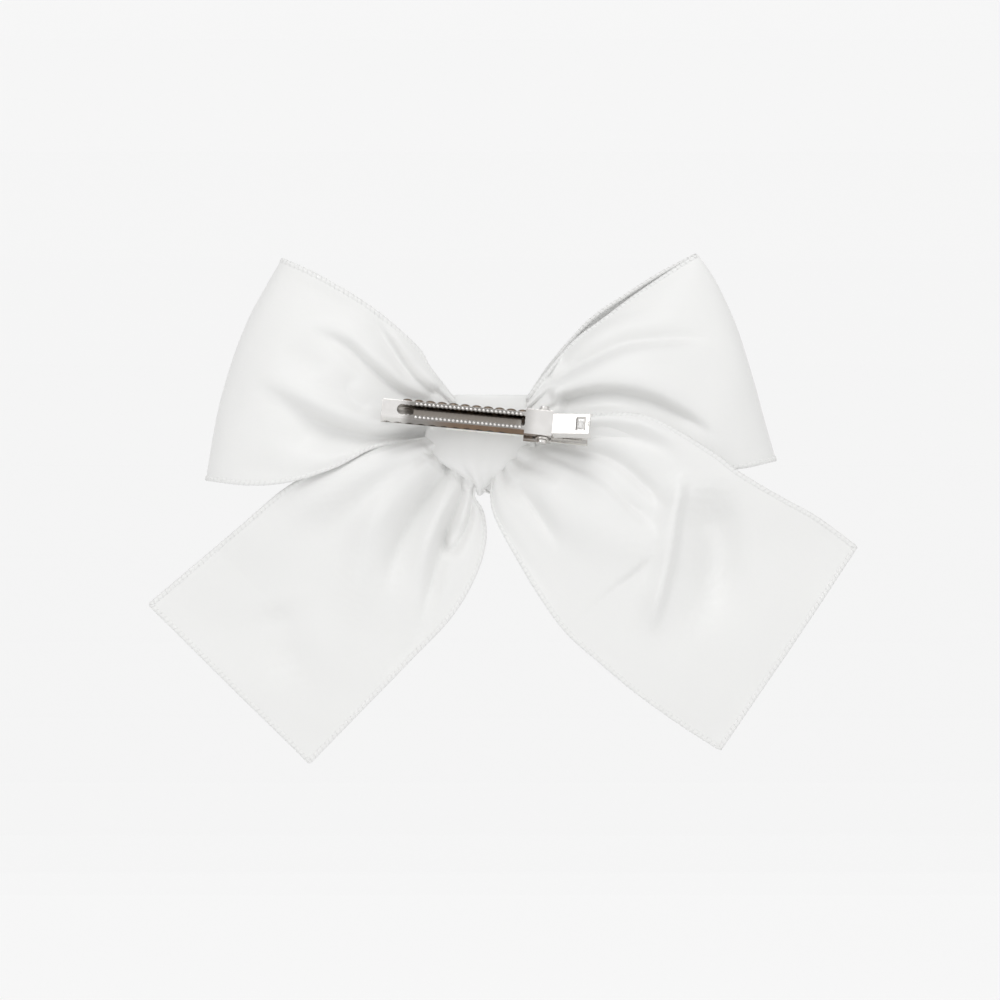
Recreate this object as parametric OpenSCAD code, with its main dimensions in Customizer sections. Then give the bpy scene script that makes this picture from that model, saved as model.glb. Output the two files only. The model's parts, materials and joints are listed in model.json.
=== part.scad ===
// Hair bow: two ribbon loops and two ribbon tails gathered under a knot band, on a toothed alligator clip.
// The clip side faces -Y, the decorative side faces +Y and +Z is up as worn.
// The origin lies on the line where the closed jaws meet, behind the knot.

/* [Clip] */
// Overall length of the clip
clip_len = 45; // [40:0.5:55]
// Length of the handles, from the hinge pin to their ends
handle_len = 10; // [9:0.5:13]
// Thickness of the stamped sheet
sheet_t = 0.45; // [0.3:0.05:0.6]
// Width of a jaw's flat back
jaw_back_w = 4; // [3.6:0.1:4.4]
// Width of a jaw over the tips of its teeth
jaw_mouth_w = 5.1; // [4.9:0.1:5.3]
// Depth of the lever's jaw channel
lever_depth = 2.4; // [2.2:0.1:2.8]
// Depth of the base's jaw channel
base_depth = 2.2; // [2:0.1:2.6]
// Angle at which the lever's handle stands off
lever_handle_angle = 18; // [15:1:20]
// Angle at which the base's handle stands off
base_handle_angle = 5; // [3:1:7]
// Distance from one large tooth to the next
tooth_pitch = 2.5; // [2.2:0.1:3]
// Height of the large teeth
tooth_h = 0.5; // [0.3:0.1:0.6]
// Width of the long slot in the lever
slot_w = 2.4; // [2.2:0.1:2.8]
// Distance from one fine tooth along the slot to the next
fine_pitch = 0.9; // [0.8:0.1:1.2]
// Diameter of the hinge pin
pin_d = 1.2; // [1:0.1:1.3]
// Length of the hinge pin over its heads
pin_len = 8.4; // [8:0.1:9]
// Turn of the clip in the plane of the bow, tips up
clip_tilt = 5.4; // [0:0.1:10]
// Roll of the clip about its own length
clip_roll = 14; // [0:1:18]
// Distance from the origin to the hinge pin
grip_to_pin = 11.35; // [9:0.05:14]

/* [Ribbon] */
// Thickness that stands for one layer of hemmed satin
ribbon_t = 0.8; // [0.6:0.1:1]
// Diameter of the overlocked edging
edging_d = 1.1; // [0.9:0.1:1.4]
// How far the loops stand open, front to back
loop_depth = 14; // [10:1:22]
// How far the two layers of a loop stand to either side of the knot's middle where they enter it
loop_spread = 6.5; // [1:0.5:7]
// Distance from the jaw line to the middle of the knot
knot_y = 14.6; // [14:0.1:16]

/* [Knot] */
// Height of the knot band
knot_h = 22.6; // [20:0.2:24]
// Depth of the knot band, front to back
knot_depth = 22; // [20:0.5:23]
// Width of the knot band where it is widest
knot_w = 21; // [18:0.5:22]
// Width of the knot band where its ends are sewn, low on the clip side
knot_seam_w = 7; // [5:0.5:10]
// Thickness of the folded knot band
knot_t = 1.2; // [0.9:0.1:1.5]

/* [Hidden] */
$fn = 48;
jaw_len = clip_len - handle_len;
jaw_gap = 0.1;
ear_r = 1.5;
ear_clear = 0.1;
pin_clear = 0.05;
hinge_half = 4;
lever_half_w = jaw_back_w / 2 + 0.78;
base_half_w = lever_half_w + ear_clear + sheet_t;
handle_bend_x = 2;
slot_from_tip = 3.3;
tongue_w = 1.5;
knot_z = 6.5 - knot_h / 2;
big = 60;

// ---------------------------------------------------------------- curves, sheets and tubes

// A point on the quadratic curve through p[0] and p[2], pulled towards p[1]
function curve(p, t) = (1 - t) * (1 - t) * p[0] + 2 * t * (1 - t) * p[1] + t * t * p[2];

function unit(v) = v / max(norm(v), 1e-6);

// The normal of a grid of points at row i, column j
function grid_normal(g, i, j) =
    let (n = len(g) - 1, m = len(g[0]) - 1)
    unit(cross(g[min(i + 1, n)][j] - g[max(i - 1, 0)][j], g[i][min(j + 1, m)] - g[i][max(j - 1, 0)]));

// One closed solid of thickness t about a grid of points
module sheet(g, t) {
    rows = len(g);
    cols = len(g[0]);
    side = rows * cols;
    points = [for (s = [-1, 1], i = [0:rows - 1], j = [0:cols - 1]) g[i][j] + s * t / 2 * grid_normal(g, i, j)];
    under = [for (i = [0:rows - 2], j = [0:cols - 2]) let (k = i * cols + j) [k, k + 1, k + cols + 1, k + cols]];
    over = [for (f = under) [f[3] + side, f[2] + side, f[1] + side, f[0] + side]];
    ends = [for (j = [0:cols - 2], e = [0, 1])
        let (k = e * (rows - 1) * cols + j)
        e == 0 ? [k, k + side, k + side + 1, k + 1] : [k + 1, k + side + 1, k + side, k]];
    edges = [for (i = [0:rows - 2], e = [0, 1])
        let (k = i * cols + e * (cols - 1))
        e == 0 ? [k + cols, k + cols + side, k + side, k] : [k, k + side, k + cols + side, k + cols]];
    polyhedron(points = points, faces = concat(under, over, ends, edges), convexity = 6);
}

// A round tube of diameter d along a list of points
module tube(path, d, sides = 6) {
    n = len(path);
    points = [for (i = [0:n - 1])
        let (along = unit(path[min(i + 1, n - 1)] - path[max(i - 1, 0)]),
            across = unit(cross(along, abs(along[1]) < 0.8 ? [0, 1, 0] : [1, 0, 0])),
            up = cross(along, across))
        for (k = [0:sides - 1]) path[i] + d / 2 * (cos(360 * k / sides) * across + sin(360 * k / sides) * up)];
    walls = [for (i = [0:n - 2], k = [0:sides - 1])
        let (a = i * sides, b = (k + 1) % sides) [a + k, a + sides + k, a + sides + b, a + b]];
    first = [[for (k = [0:sides - 1]) k]];
    last = [[for (k = [0:sides - 1]) n * sides - 1 - k]];
    polyhedron(points = points, faces = concat(walls, first, last), convexity = 6);
}

// ---------------------------------------------------------------- the clip, built about its hinge pin

// Places the clip, which is built with its pin on Z and its tips towards -X
module on_bow() {
    rotate([0, clip_tilt, 0]) translate([grip_to_pin, 0, 0]) rotate([-clip_roll, 0, 0]) children();
}

// A channel of sheet steel: flat back at y = depth, walls spreading to the mouth
module channel(length, depth, back_w, mouth_w) {
    rotate([90, 0, 90])
        linear_extrude(length)
            polygon([
                [0, mouth_w / 2], [depth, back_w / 2], [depth, -back_w / 2], [0, -mouth_w / 2],
                [0, -mouth_w / 2 + sheet_t], [depth - sheet_t, -back_w / 2 + sheet_t],
                [depth - sheet_t, back_w / 2 - sheet_t], [0, mouth_w / 2 - sheet_t]
            ]);
}

// The gaps between a jaw's large teeth
module tooth_gaps() {
    for (x = [-jaw_len + tooth_pitch / 2 : tooth_pitch : -hinge_half - tooth_pitch])
        translate([x, jaw_gap - 0.9 * tooth_pitch / 2 + tooth_h, -big / 2])
            cylinder(r = 0.9 * tooth_pitch / 2, h = big, $fn = 24);
}

// One arm of the clip without its slots; ears at half width half_w
module arm(depth, half_w, handle_angle, handle_wall) {
    end_w = jaw_back_w - 0.5;
    handle_back_w = jaw_back_w + 0.4;
    handle_mouth_w = 2 * half_w - 0.17;
    difference() {
        translate([-jaw_len, jaw_gap, 0]) channel(jaw_len - ear_r - 0.5, depth - jaw_gap, jaw_back_w, jaw_mouth_w);
        tooth_gaps();
    }
    translate([-jaw_len + 0.01, depth - sheet_t - 0.9, -end_w / 2]) cube([sheet_t, 1.1, end_w]);
    for (side = [-1, 1])
        difference() {
            union() {
                translate([0, 0, side * (half_w - sheet_t / 2) - sheet_t / 2]) cylinder(r = ear_r, h = sheet_t);
                translate([-hinge_half, 0.6, side * (half_w - sheet_t / 2) - sheet_t / 2])
                    cube([hinge_half + handle_bend_x, depth - 0.6, sheet_t]);
            }
            translate([0, 0, -big / 2]) cylinder(d = pin_d + 2 * pin_clear, h = big);
        }
    translate([-hinge_half, depth - sheet_t, -half_w]) cube([hinge_half + handle_bend_x, sheet_t, 2 * half_w]);
    translate([handle_bend_x, depth, 0])
        rotate([0, 0, handle_angle])
            translate([-0.13, -handle_wall, 0])
                channel((handle_len - handle_bend_x) / cos(handle_angle), handle_wall, handle_back_w, handle_mouth_w);
}

// The arm that lies against the knot, with a raised tongue between its rows of teeth
module base_arm() {
    color("silver") on_bow() {
        arm(base_depth, base_half_w, base_handle_angle, 1);
        translate([-jaw_len + slot_from_tip + 3.6, -0.6, -tongue_w / 2])
            cube([jaw_len - slot_from_tip - 4.3 - hinge_half, base_depth + 0.4, tongue_w]);
    }
}

// The outline of the lever's long slot, fine teeth along both of its edges
module slot_outline() {
    x0 = -jaw_len + slot_from_tip + slot_w / 2;
    count = floor((jaw_len - slot_from_tip - slot_w / 2 - hinge_half) / fine_pitch);
    translate([x0, 0]) circle(d = slot_w);
    polygon(concat(
        [for (i = [0:count], e = [0, 0.5]) [x0 + (i + e) * fine_pitch, (slot_w / 2 - (e > 0 ? 0.22 : 0))]],
        [for (i = [count:-1:0], e = [0.5, 0]) [x0 + (i + e) * fine_pitch, -(slot_w / 2 - (e > 0 ? 0.22 : 0))]]));
}

// The arm that swings: slotted jaw, hinge ears, and a handle with a window for the spring's tab
module lever_arm() {
    window = [2, 3];
    color("gainsboro") on_bow() {
        difference() {
            mirror([0, 1, 0]) arm(lever_depth, lever_half_w, lever_handle_angle, 2);
            rotate([90, 0, 0]) linear_extrude(big / 2) slot_outline();
            translate([8 - window[0] / 2, -big / 2, -window[1] / 2]) cube([window[0], big / 2 - 1.9, window[1]]);
        }
        translate([handle_len - 0.2, -lever_depth - (handle_len - handle_bend_x) * tan(lever_handle_angle), 0])
            cylinder(r = 0.35, h = 0.8, center = true);
    }
}

// The spring: one strip bent round the pin, each leg pressing a handle outwards
module leaf_spring() {
    strip_t = 0.35;
    strip_w = 2.8;
    bend_r = pin_d / 2 + 0.08;
    lever_y = -3.75;
    base_y = 2.05;
    leg_x = 8.8;
    color("darkgray") on_bow()
        translate([0, 0, -strip_w / 2])
            union() {
                linear_extrude(strip_w) {
                    difference() {
                        circle(r = bend_r + strip_t);
                        circle(r = bend_r);
                        translate([0.05, -big / 2]) square([big, big]);
                    }
                    polygon([[0, -bend_r], [0, -bend_r - strip_t], [leg_x, lever_y], [leg_x, lever_y + strip_t]]);
                    polygon([[0, bend_r], [0, bend_r + strip_t], [leg_x, base_y], [leg_x, base_y - strip_t]]);
                }
                translate([7.5, lever_y - 0.3, 0.5]) cube([1, 0.8, strip_w - 1]);
            }
}

// The hinge pin, headed over outside the ears
module pivot_pin() {
    head_t = 0.7;
    color("silver") on_bow() {
        cylinder(d = pin_d, h = pin_len - 0.2, center = true);
        for (side = [-1, 1])
            translate([0, 0, side * (base_half_w + 0.06 + head_t / 2)]) cylinder(r = 1.05, h = head_t, center = true);
    }
}

// Set glue between the base arm and the knot band
module glue_pad() {
    pad = [19, 1.3, 4];
    color("ivory") on_bow()
        translate([-grip_to_pin - pad[0] / 2, base_depth - 0.02, -pad[2] / 2])
            cube(pad);
}

// ---------------------------------------------------------------- the knot

// A rounded box section round the X axis; u goes round it, bottom first
function knot_ring(u, y_half, z_half) =
    let (c = cos(360 * u - 90), s = sin(360 * u - 90), e = 0.72)
    [knot_y - y_half * sign(c) * pow(abs(c), e), knot_z + z_half * sign(s) * pow(abs(s), e)];

// Half width of the band: narrow at the sewn bottom, full over the top and the front
function knot_half_w(u) =
    let (low = (1 + cos(360 * (u - 0.06))) / 2) knot_w / 2 - (knot_w - knot_seam_w) / 2 * low * low;

module knot_band() {
    n = 40;
    m = 5;
    wide = [for (s = [0, 1], i = [0:n - 1], j = [0:m])
        let (p = knot_ring(i / n, knot_depth / 2 - s * knot_t, knot_h / 2 - s * knot_t), w = knot_half_w(i / n))
        [w * (2 * j / m - 1), p[0], p[1]]];
    cols = m + 1;
    side = n * cols;
    outer = [for (i = [0:n - 1], j = [0:m - 1])
        let (a = i * cols + j, b = ((i + 1) % n) * cols + j) [a, b, b + 1, a + 1]];
    inner = [for (f = outer) [f[3] + side, f[2] + side, f[1] + side, f[0] + side]];
    rims = [for (i = [0:n - 1], e = [0, 1])
        let (a = i * cols + e * m, b = ((i + 1) % n) * cols + e * m)
        e == 0 ? [a, a + side, b + side, b] : [b, b + side, a + side, a]];
    color("white") polyhedron(points = wide, faces = concat(outer, inner, rims), convexity = 6);
}

// Whip stitches that close the band, low on the clip side
module knot_stitches() {
    color("white")
        for (i = [0:5])
            translate([-1.6 + 0.25 * i, knot_y - 5.2 + 1.9 * i, knot_z - knot_h / 2 - 0.05])
                rotate([0, 90, 0]) cylinder(d = 0.5, h = 3, $fn = 16);
}

// The pinched middle of the ribbon inside the band
module gathered_centre() {
    color("whitesmoke") translate([0, knot_y, knot_z + 1])
        rotate([0, 90, 0])
            rotate_extrude()
                polygon([[0, -9.6], [8.2, -9.6], [5.6, -3.5], [5.2, 0], [5.6, 3.5], [8.2, 9.6], [0, 9.6]]);
}

// Turns of thread that hold the gathers
module binding_thread() {
    color("white") translate([0, knot_y, knot_z + 1])
        rotate([0, 90, 0])
            for (i = [-3:3])
                translate([0, 0, 0.75 * i]) rotate_extrude() translate([5.55, 0]) circle(d = 0.7, $fn = 16);
}

// ---------------------------------------------------------------- the loops

// Upper and lower edge of each loop, from the knot to the outer fold, as [x, z]
left_loop_top = [[-9.2, 5], [-19, 23], [-45.7, 35.7]];
left_loop_low = [[-9.2, -4.5], [-38, -12], [-62.4, -12.8]];
right_loop_top = [[9.2, 5], [19, 24], [45.4, 36.6]];
right_loop_low = [[9.2, -4.5], [36, -10], [62.6, -9]];

// Round a loop: the clip-side layer out to the fold, the front layer back; y_far is the fold's middle
function loop_point(top, low, y_far, a, v) =
    let (r = (1 - cos(a)) / 2, p = curve(low, r) * (1 - v) + curve(top, r) * v,
        bow_out = sin(180 * v) * 3.5 * r * r, side = sign(top[2][0]))
    [p[0] + side * bow_out,
        knot_y + (y_far - knot_y) * r - loop_depth / 1.54 * sin(a) * sin(a / 2) - loop_spread * cos(a / 2), p[1]];

function loop_grid(top, low, y_far) =
    [for (i = [0:36]) [for (j = [0:8]) loop_point(top, low, y_far, 12 + 336 * i / 36, j / 8)]];

left_loop_grid = loop_grid(left_loop_top, left_loop_low, 15);
right_loop_grid = loop_grid(right_loop_top, right_loop_low, 17.6);

module left_loop() {
    color("white") sheet(left_loop_grid, ribbon_t);
}

module right_loop() {
    color("white") sheet(right_loop_grid, ribbon_t);
}

// ---------------------------------------------------------------- the tails

// Upper and lower edge of each tail, from the knot to the cut end, as [x, z]
left_tail_top = [[-5, -4], [-38, -6], [-74.8, -40]];
left_tail_low = [[-1.5, -12], [3, -36], [-39.6, -74.8]];
right_tail_top = [[6, -4], [42, 8], [79.8, -27.4]];
right_tail_low = [[1.5, -12], [1, -42], [50, -71.7]];

// Along a tail; ys is its depth at the knot, the middle and the end, rise the height of its long folds
function tail_grid(top, low, ys, rise) =
    [for (i = [0:24]) [for (j = [0:12])
        let (t = i / 24, v = j / 12, p = curve(low, t) * (1 - v) + curve(top, t) * v)
        [p[0], curve(ys, t) + rise * sin(180 * t) * cos(540 * v), p[1]]]];

left_tail_grid = tail_grid(left_tail_top, left_tail_low, [10, 9, 10.5], 1.5);
right_tail_grid = tail_grid(right_tail_top, right_tail_low, [7.5, 2.5, 7.5], 1.2);

module left_tail() {
    color("white") sheet(left_tail_grid, ribbon_t);
}

module right_tail() {
    color("white") sheet(right_tail_grid, ribbon_t);
}

// ---------------------------------------------------------------- the overlocked edges

// Thread edging along both long edges of a ribbon
module long_edging(g) {
    for (j = [0, len(g[0]) - 1])
        tube([for (i = [1:len(g) - 1]) g[i][j]], edging_d);
}

module left_loop_edging() {
    color("snow") long_edging(left_loop_grid);
}

module right_loop_edging() {
    color("snow") long_edging(right_loop_grid);
}

// A tail's edging also runs across its cut end
module tail_edging(g) {
    last = len(g) - 1;
    cols = len(g[0]) - 1;
    tube(concat(
        [for (i = [1:last - 1]) g[i][0]],
        [for (j = [0:cols]) g[last][j]],
        [for (i = [last - 1:-1:1]) g[i][cols]]), edging_d);
}

module left_tail_edging() {
    color("snow") tail_edging(left_tail_grid);
}

module right_tail_edging() {
    color("snow") tail_edging(right_tail_grid);
}

base_arm();
lever_arm();
leaf_spring();
pivot_pin();
glue_pad();
knot_band();
knot_stitches();
gathered_centre();
binding_thread();
left_loop();
right_loop();
left_tail();
right_tail();
left_loop_edging();
right_loop_edging();
left_tail_edging();
right_tail_edging();
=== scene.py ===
import json
import math

import bmesh
import bpy
import numpy as np
from mathutils import Matrix, Vector


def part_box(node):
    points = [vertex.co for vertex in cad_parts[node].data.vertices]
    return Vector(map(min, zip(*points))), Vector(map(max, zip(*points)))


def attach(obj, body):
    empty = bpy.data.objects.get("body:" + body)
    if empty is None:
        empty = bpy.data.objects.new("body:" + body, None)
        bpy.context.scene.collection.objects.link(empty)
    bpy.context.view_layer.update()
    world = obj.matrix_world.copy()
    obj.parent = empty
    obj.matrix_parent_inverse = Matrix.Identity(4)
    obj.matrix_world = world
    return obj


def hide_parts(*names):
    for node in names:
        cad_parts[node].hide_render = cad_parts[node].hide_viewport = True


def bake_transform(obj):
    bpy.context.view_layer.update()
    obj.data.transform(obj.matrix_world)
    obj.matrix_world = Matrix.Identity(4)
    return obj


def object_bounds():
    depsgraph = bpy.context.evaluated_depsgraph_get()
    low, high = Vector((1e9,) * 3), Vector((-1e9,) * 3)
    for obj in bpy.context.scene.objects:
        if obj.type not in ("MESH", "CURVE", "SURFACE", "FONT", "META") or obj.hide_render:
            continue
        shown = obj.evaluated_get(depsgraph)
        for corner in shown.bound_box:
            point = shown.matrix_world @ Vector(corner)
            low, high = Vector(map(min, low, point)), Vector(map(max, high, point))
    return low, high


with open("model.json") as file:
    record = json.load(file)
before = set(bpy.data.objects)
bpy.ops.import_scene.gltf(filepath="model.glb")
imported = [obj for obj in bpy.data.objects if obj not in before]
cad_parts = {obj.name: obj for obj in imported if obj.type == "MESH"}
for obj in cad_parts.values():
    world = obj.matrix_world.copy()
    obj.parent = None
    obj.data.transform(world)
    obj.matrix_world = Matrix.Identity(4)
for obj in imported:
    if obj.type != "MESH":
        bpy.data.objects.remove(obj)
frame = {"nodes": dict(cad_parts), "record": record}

cad_low, cad_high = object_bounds()
MM = 0.001

# ---------------------------------------------------------------- studio
# A pale seamless sheet under and behind the bow, large soft lights round it, and a long lens straight on
# the clip side. The sheet is part of the studio and not of the bow.

sheet_mesh = bpy.data.meshes.new("seamless_sheet")
bm = bmesh.new()
profile = [bm.verts.new((-4, -4, -0.3)), bm.verts.new((-4, 2.2, -0.3))]
bend = 0.8
for step in range(1, 13):
    a = math.radians(90 * step / 12)
    profile.append(bm.verts.new((-4, 2.2 + bend * math.sin(a), -0.3 + bend * (1 - math.cos(a)))))
profile.append(bm.verts.new((-4, 3.0, 3.5)))
rails = [bm.edges.new(pair) for pair in zip(profile, profile[1:])]
drawn = bmesh.ops.extrude_edge_only(bm, edges=rails)["geom"]
bmesh.ops.translate(bm, vec=(8, 0, 0), verts=[g for g in drawn if isinstance(g, bmesh.types.BMVert)])
bmesh.ops.recalc_face_normals(bm, faces=bm.faces)
bm.to_mesh(sheet_mesh)
bm.free()
seamless = bpy.data.objects.new("seamless_sheet", sheet_mesh)
bpy.context.collection.objects.link(seamless)

paper = bpy.data.materials.new("studio_paper")
paper.use_nodes = True
paper_shader = paper.node_tree.nodes["Principled BSDF"]
paper_shader.inputs["Base Color"].default_value = (0.35, 0.35, 0.35, 1)
paper_shader.inputs["Roughness"].default_value = 0.95
paper_shader.inputs["Specular IOR Level"].default_value = 0.1
paper_shader.inputs["Emission Color"].default_value = (1, 1, 1, 1)
paper_shader.inputs["Emission Strength"].default_value = 0.655
sheet_mesh.materials.append(paper)


def soft_light(name, place, aim, size, power, tint=(1, 1, 1)):
    lamp = bpy.data.lights.new(name, "AREA")
    lamp.shape = "RECTANGLE"
    lamp.size, lamp.size_y = size
    lamp.energy = power
    lamp.color = tint
    holder = bpy.data.objects.new(name, lamp)
    bpy.context.collection.objects.link(holder)
    holder.location = place
    holder.rotation_euler = (Vector(aim) - Vector(place)).to_track_quat("-Z", "Y").to_euler()


middle = (cad_low + cad_high) / 2
soft_light("key_softbox", (-0.10, -0.66, 0.94), middle, (0.55, 0.55), 3.9)
soft_light("side_card", (-0.62, -0.82, 0.43), middle, (0.4, 0.4), 1.0)
soft_light("fill_softbox", (0.85, -0.85, 0.15), middle, (1.0, 1.0), 1.6)
soft_light("low_bounce", (0.0, -0.7, -0.9), middle, (1.2, 0.6), 0.6)
soft_light("front_softbox", (0.4, 1.0, 0.8), middle, (1.0, 1.0), 1.6)

world = bpy.data.worlds.new("studio_air")
bpy.context.scene.world = world
world.use_nodes = True
air = world.node_tree
toward = air.nodes.new("ShaderNodeTexCoord")
facing = air.nodes.new("ShaderNodeVectorMath")
facing.operation = "DOT_PRODUCT"
facing.inputs[1].default_value = Vector((0.05, -0.9, 0.42)).normalized()
shade = air.nodes.new("ShaderNodeValToRGB")
shade.color_ramp.elements[0].position, shade.color_ramp.elements[0].color = 0.90, (0.57, 0.57, 0.57, 1)
shade.color_ramp.elements[1].position, shade.color_ramp.elements[1].color = 0.985, (0.9, 0.9, 0.9, 1)
air.links.new(toward.outputs["Generated"], facing.inputs[0])
air.links.new(facing.outputs["Value"], shade.inputs["Fac"])
air.links.new(shade.outputs["Color"], air.nodes["Background"].inputs["Color"])
bpy.context.scene.view_settings.view_transform = "Standard"

# The lens takes in 217 mm at the bow, centred a little right of the clip and below it.
lens = bpy.data.cameras.new("long_lens")
lens.sensor_width = 36
camera_y = -0.95
field = 0.2174
lens.lens = 36 * (0.006 - camera_y) / field
lens.clip_end = 20
camera = bpy.data.objects.new("long_lens", lens)
bpy.context.collection.objects.link(camera)
camera.location = (0.002, camera_y, -0.0172)
camera.rotation_euler = (math.radians(90), 0, 0)
bpy.context.scene.camera = camera

# ---------------------------------------------------------------- satin
# The ribbon is white duchess satin: long floats along the ribbon give it a soft sheen, with fine
# slubs and a faint cloudiness. One material serves every piece cut from it.


class Sock:
    """A shader socket that takes arithmetic."""

    def __init__(self, tree, socket):
        self.tree, self.socket = tree, socket

    def maths(self, operation, *values):
        return make(self.tree, "ShaderNodeMath", {"operation": operation}, dict(enumerate(values)))

    def __add__(self, other):
        return self.maths("ADD", self, other)

    __radd__ = __add__

    def __mul__(self, other):
        return self.maths("MULTIPLY", self, other)

    __rmul__ = __mul__

    def __sub__(self, other):
        return self.maths("SUBTRACT", self, other)

    def __rsub__(self, other):
        return self.maths("SUBTRACT", other, self)


def make(tree, kind, settings=None, values=None, out=0):
    """Any node: its settings first, then the values or links of its sockets."""
    node = tree.nodes.new(kind)
    for name, value in (settings or {}).items():
        setattr(node, name, value)
    for name, value in (values or {}).items():
        if isinstance(value, Sock):
            tree.links.new(value.socket, node.inputs[name])
        else:
            node.inputs[name].default_value = value
    return Sock(tree, node.outputs[out])


def mixed(tree, factor, a, b):
    """A colour between a and b."""
    return make(tree, "ShaderNodeMix", {"data_type": "RGBA"}, {"Factor": factor, "A": a, "B": b}, 2)


def material(name, uniform, varying):
    """A Principled material: uniform values on its own sockets, and varying(tree) for those that change."""
    m = bpy.data.materials.new(name)
    m.use_nodes = True
    shader = m.node_tree.nodes["Principled BSDF"]
    for socket, value in uniform.items():
        shader.inputs[socket].default_value = value
    for socket, value in varying(m.node_tree).items():
        m.node_tree.links.new(value.socket, shader.inputs[socket])
    return m


def satin_look(tree):
    place = make(tree, "ShaderNodeUVMap", {"uv_map": "UVMap"})
    floats = make(tree, "ShaderNodeMapping", values={"Vector": place, "Scale": (5200, 700, 1)})
    thread = make(tree, "ShaderNodeTexNoise", {}, {"Vector": floats, "Scale": 1.0, "Detail": 2.0})
    slub_place = make(tree, "ShaderNodeMapping", values={"Vector": place, "Scale": (260, 1500, 1)})
    slub = make(tree, "ShaderNodeTexNoise", {}, {"Vector": slub_place, "Scale": 1.0, "Detail": 3.0})
    cloud = make(tree, "ShaderNodeTexNoise", {}, {"Vector": place, "Scale": 55.0, "Detail": 3.0})
    tone = mixed(tree, cloud * 0.6 + thread * 0.4, (0.80, 0.80, 0.79, 1), (0.845, 0.845, 0.835, 1))
    height = thread * 0.6 + slub * 0.4
    bump = make(tree, "ShaderNodeBump", {}, {"Height": height, "Strength": 0.22, "Distance": 0.00006})
    return {"Base Color": tone, "Roughness": 0.40 + cloud * 0.10 + thread * 0.06, "Normal": bump}


satin = material("duchess_satin", {"Sheen Weight": 0.35, "Sheen Roughness": 0.35, "Specular IOR Level": 0.42,
                                   "Anisotropic": 0.35}, satin_look)

# ---------------------------------------------------------------- loops
# Each loop is one turn of 50 mm ribbon, out from the knot on the clip side, round a soft fold and back on
# the front. Its two layers are pinched into pleats where the thread binds them.

RIBBON_W = 0.050
RIBBON_THICK = 0.0004
LOOP_ROWS, LOOP_COLS = 148, 46
COARSE, CLOTH_FRAMES, CLOTH_CAP = 3, 12, 0.003
EDGE_POINTS = 80
LOOP_SPREAD = 6.5


def spline(points, count):
    """count evenly spaced points along a smooth curve through the given ones."""
    p = np.array(points, float)
    q = np.vstack([2 * p[0] - p[1], p, 2 * p[-1] - p[-2]])
    t = np.linspace(0, 1, 16, endpoint=False)[:, None]
    spans = []
    for a, b, c, d in zip(q, q[1:], q[2:], q[3:]):
        spans.append(0.5 * (2 * b + (c - a) * t + (2 * a - 5 * b + 4 * c - d) * t**2
                            + (3 * b - a - 3 * c + d) * t**3))
    dense = np.vstack(spans + [p[-1:]])
    run = np.concatenate([[0], np.cumsum(np.linalg.norm(np.diff(dense, axis=0), axis=1))])
    at = np.linspace(0, run[-1], count)
    return np.column_stack([np.interp(at, run, dense[:, k]) for k in range(dense.shape[1])])


def patch(low, high, inner, outer, r, v):
    """Points of a four-sided patch at r from inner to outer and v from low to high, all arrays."""
    def at(curve, t):
        x = t * (len(curve) - 1)
        return np.stack([np.interp(x, np.arange(len(curve)), curve[:, k]) for k in range(curve.shape[1])],
                        axis=-1)
    r1, v1 = r[..., None], v[..., None]
    sides = (1 - v1) * at(low, r) + v1 * at(high, r) + (1 - r1) * at(inner, v) + r1 * at(outer, v)
    return sides - ((1 - r1) * ((1 - v1) * low[0] + v1 * high[0]) + r1 * ((1 - v1) * low[-1] + v1 * high[-1]))


def fold(xz, path, width, height, start=0.1, end=0.4, lean=0.0):
    """How far a fold along path lifts each point: a ridge or, with a negative height, a valley."""
    line = spline(path, 60)
    gap = xz[..., None, :] - line
    dist = np.linalg.norm(gap, axis=-1)
    near = dist.argmin(axis=-1)
    d = np.take_along_axis(dist, near[..., None], -1)[..., 0]
    along = np.gradient(line, axis=0)[near]
    off = np.take_along_axis(gap, near[..., None, None], -2)[..., 0, :]
    side = np.sign(along[..., 0] * off[..., 1] - along[..., 1] * off[..., 0])
    s = near / 59
    rise = np.clip(s / start, 0, 1) if start else np.ones_like(s)
    fall = np.clip((1 - s) / end, 0, 1) if end else np.ones_like(s)
    ease = (rise * rise * (3 - 2 * rise)) * (fall * fall * (3 - 2 * fall))
    w = width * (1 + lean * side)
    return height * ease * (0.75 * np.exp(-(d / w) ** 2) + 0.25 * np.exp(-(d / (2.2 * width)) ** 2))


def ribbon_piece(name, points, width, length, weld=False):
    """A grid of cloth through points[row][column], its UV map in metres of flat ribbon. Welding joins the
    two long edges, or the two ends, where they lie on each other, and closes what is left open."""
    rows, cols = points.shape[:2]
    mesh = bpy.data.meshes.new(name)
    bm = bmesh.new()
    bm.loops.layers.uv.new("UVMap")
    bmesh.ops.create_grid(bm, x_segments=cols - 1, y_segments=rows - 1, size=0.5, calc_uvs=True)
    uv = bm.loops.layers.uv["UVMap"]
    for face in bm.faces:
        for corner in face.loops:
            u, v = corner.vert.co.x + 0.5, corner.vert.co.y + 0.5
            corner[uv].uv = (u * width, v * length)
    for vert in bm.verts:
        row, col = round((vert.co.y + 0.5) * (rows - 1)), round((vert.co.x + 0.5) * (cols - 1))
        vert.co = points[row, col]
    if weld:
        bmesh.ops.remove_doubles(bm, verts=bm.verts, dist=1e-7)
        bmesh.ops.holes_fill(bm, edges=[e for e in bm.edges if e.is_boundary])
        bmesh.ops.recalc_face_normals(bm, faces=bm.faces)
    bm.to_mesh(mesh)
    bm.free()
    for polygon in mesh.polygons:
        polygon.use_smooth = True
    piece = bpy.data.objects.new(name, mesh)
    bpy.context.collection.objects.link(piece)
    return piece


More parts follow.
